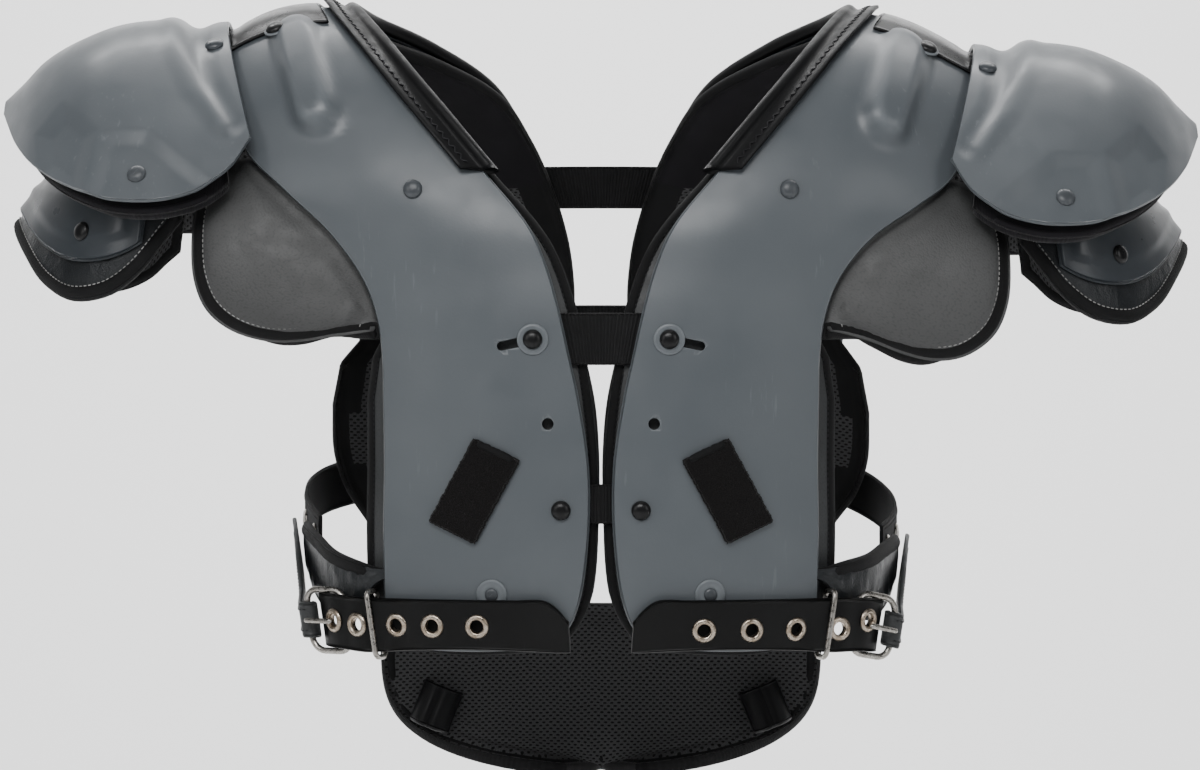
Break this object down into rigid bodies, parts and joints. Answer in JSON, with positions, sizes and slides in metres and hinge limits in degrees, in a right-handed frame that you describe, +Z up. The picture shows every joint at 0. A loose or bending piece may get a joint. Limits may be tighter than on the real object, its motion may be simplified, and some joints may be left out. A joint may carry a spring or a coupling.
{
  "type": "football shoulder pad",
  "caption": "Padded football shoulder guard with hard arches, shoulder and deltoid caps, belts, buckles and a lower back panel.",
  "frame": {"origin": "midway between the wearer's shoulders, at the height of the arches' ridge, where the shoulders carry the pad", "axes": "+Z up, the front of the pad towards -Y, the wearer's left shoulder towards +X"},
  "size_m": [0.6356, 0.2755, 0.422],
  "materials": {
    "slate_plastic": "satin",
    "black_foam": "mesh cloth over foam",
    "grey_vinyl": "grained vinyl",
    "black_vinyl": "smooth vinyl",
    "black_plastic": "satin",
    "black_web": "woven",
    "nickel": "polished"
  },
  "bodies": {
    "root": {"arch_plate_right": "slate_plastic", "cap_shell_right": "slate_plastic", "deltoid_shell_right": "slate_plastic", "arch_pad_right": "black_foam", "cap_pad_right": "black_foam", "deltoid_pad_right": "black_foam", "front_flap_right": "grey_vinyl", "back_flap_right": "grey_vinyl", "side_wing_right": "grey_vinyl", "buckle_strap_right": "grey_vinyl", "neck_roll_right": "black_vinyl", "shoulder_strap_right": "black_plastic", "belt_right": "black_plastic", "plate_rivet_upper_right": "black_plastic", "slot_rivet_right": "black_plastic", "plate_rivet_lower_right": "black_plastic", "cap_rivet_right": "black_plastic", "strap_rivet_right": "black_plastic", "deltoid_rivet_right": "black_plastic", "deltoid_strap_right": "black_web", "hook_patch_right": "black_web", "ring_strap_right": "black_web", "back_belt_right": "black_web", "panel_loop_right": "black_web", "keeper_ring_right": "nickel", "buckle_frame_right": "nickel", "buckle_prong_right": "nickel", "arch_plate_left": "slate_plastic", "cap_shell_left": "slate_plastic", "deltoid_shell_left": "slate_plastic", "arch_pad_left": "black_foam", "cap_pad_left": "black_foam", "deltoid_pad_left": "black_foam", "front_flap_left": "grey_vinyl", "back_flap_left": "grey_vinyl", "side_wing_left": "grey_vinyl", "buckle_strap_left": "grey_vinyl", "neck_roll_left": "black_vinyl", "shoulder_strap_left": "black_plastic", "belt_left": "black_plastic", "plate_rivet_upper_left": "black_plastic", "slot_rivet_left": "black_plastic", "plate_rivet_lower_left": "black_plastic", "cap_rivet_left": "black_plastic", "strap_rivet_left": "black_plastic", "deltoid_rivet_left": "black_plastic", "deltoid_strap_left": "black_web", "hook_patch_left": "black_web", "ring_strap_left": "black_web", "back_belt_left": "black_web", "panel_loop_left": "black_web", "keeper_ring_left": "nickel", "buckle_frame_left": "nickel", "buckle_prong_left": "nickel", "front_webbing": "black_web", "front_elastic": "black_web", "back_webbing": "black_web", "back_elastic": "black_web", "back_panel": "black_foam"}
  },
  "joints": []
}
